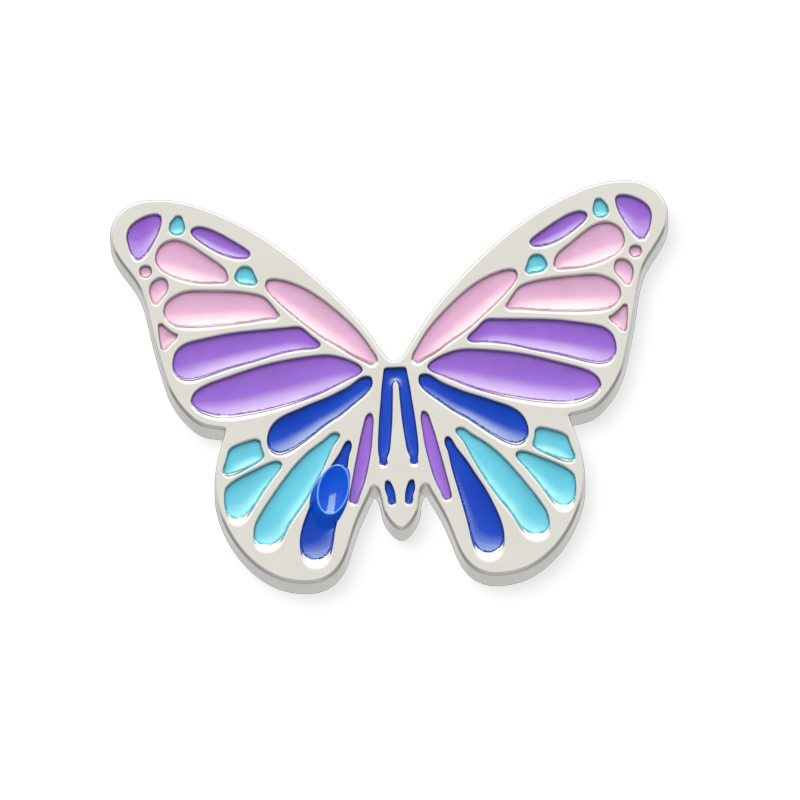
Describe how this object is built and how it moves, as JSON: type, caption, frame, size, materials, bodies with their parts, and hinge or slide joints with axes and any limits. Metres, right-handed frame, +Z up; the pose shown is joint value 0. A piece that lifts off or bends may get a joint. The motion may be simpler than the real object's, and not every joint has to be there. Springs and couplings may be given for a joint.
{
  "type": "butterfly brooch",
  "caption": "Flat cast metal butterfly with recessed coloured enamel cells on its face and a hinged pin with a roll-over safety catch on its back.",
  "frame": {"origin": "middle of the pin wire's straight length, on the wire's axis, with the pin closed", "axes": "upright as worn: +X right and +Z up seen from the front, the enamelled face looks to -Y; +X is also along the pin wire from its hinge to its point"},
  "size_m": [0.0404, 0.0076, 0.0304],
  "materials": {
    "plated_metal": "polished nickel-coloured plating",
    "plated_findings": "bright plated sheet",
    "steel_rivet": "satin",
    "steel_wire": "bright drawn and ground wire",
    "solder": "satin, slightly uneven",
    "enamel_pink": "gloss soft enamel",
    "enamel_turquoise": "gloss soft enamel",
    "enamel_purple": "gloss soft enamel",
    "enamel_blue": "gloss soft enamel",
    "enamel_bead": "high-gloss raised enamel"
  },
  "bodies": {
    "brooch": {"bead_blue": "enamel_bead", "catch_housing": "plated_findings", "enamel_body_wishbone_blue": "enamel_blue", "enamel_fore_band_pink_left": "enamel_pink", "enamel_fore_band_pink_right": "enamel_pink", "enamel_fore_band_purple_lower_left": "enamel_purple", "enamel_fore_band_purple_lower_right": "enamel_purple", "enamel_fore_band_purple_upper_left": "enamel_purple", "enamel_fore_band_purple_upper_right": "enamel_purple", "enamel_fore_dot_pink_left": "enamel_pink", "enamel_fore_dot_pink_right": "enamel_pink", "enamel_fore_drop_turquoise_left": "enamel_turquoise", "enamel_fore_drop_turquoise_right": "enamel_turquoise", "enamel_fore_edge_pink_left": "enamel_pink", "enamel_fore_edge_pink_right": "enamel_pink", "enamel_fore_fan_pink_left": "enamel_pink", "enamel_fore_fan_pink_right": "enamel_pink", "enamel_fore_teardrop_pink_left": "enamel_pink", "enamel_fore_teardrop_pink_right": "enamel_pink", "enamel_fore_tip_purple_left": "enamel_purple", "enamel_fore_tip_purple_right": "enamel_purple", "enamel_fore_top_purple_left": "enamel_purple", "enamel_fore_top_purple_right": "enamel_purple", "enamel_fore_top_turquoise_left": "enamel_turquoise", "enamel_fore_top_turquoise_right": "enamel_turquoise", "enamel_fore_triangle_pink_left": "enamel_pink", "enamel_fore_triangle_pink_right": "enamel_pink", "enamel_head_eye_blue_left": "enamel_blue", "enamel_head_eye_blue_right": "enamel_blue", "enamel_hind_corner_turquoise_left": "enamel_turquoise", "enamel_hind_corner_turquoise_right": "enamel_turquoise", "enamel_hind_long_turquoise_left": "enamel_turquoise", "enamel_hind_long_turquoise_right": "enamel_turquoise", "enamel_hind_lower_blue_left": "enamel_blue", "enamel_hind_lower_blue_right": "enamel_blue", "enamel_hind_short_turquoise_left": "enamel_turquoise", "enamel_hind_short_turquoise_right": "enamel_turquoise", "enamel_hind_slim_purple_left": "enamel_purple", "enamel_hind_slim_purple_right": "enamel_purple", "enamel_hind_upper_blue_left": "enamel_blue", "enamel_hind_upper_blue_right": "enamel_blue", "hinge_rivet": "steel_rivet", "pin_bar": "plated_findings", "plate": "plated_metal", "solder_left": "solder", "solder_right": "solder"},
    "pin": {"pin_stem": "steel_wire"},
    "roller": {"catch_roller": "plated_findings"}
  },
  "joints": [
    {"name": "pin_hinge", "type": "hinge", "parent": "brooch", "child": "pin", "pos_m": [-0.0104, -0.00092, 0], "axis": [0, 0, 1], "range_deg": [0, 100]},
    {"name": "catch_turn", "type": "hinge", "parent": "brooch", "child": "roller", "pos_m": [0.0104, 0, 0], "axis": [1, 0, 0], "range_deg": [0, 110]}
  ]
}
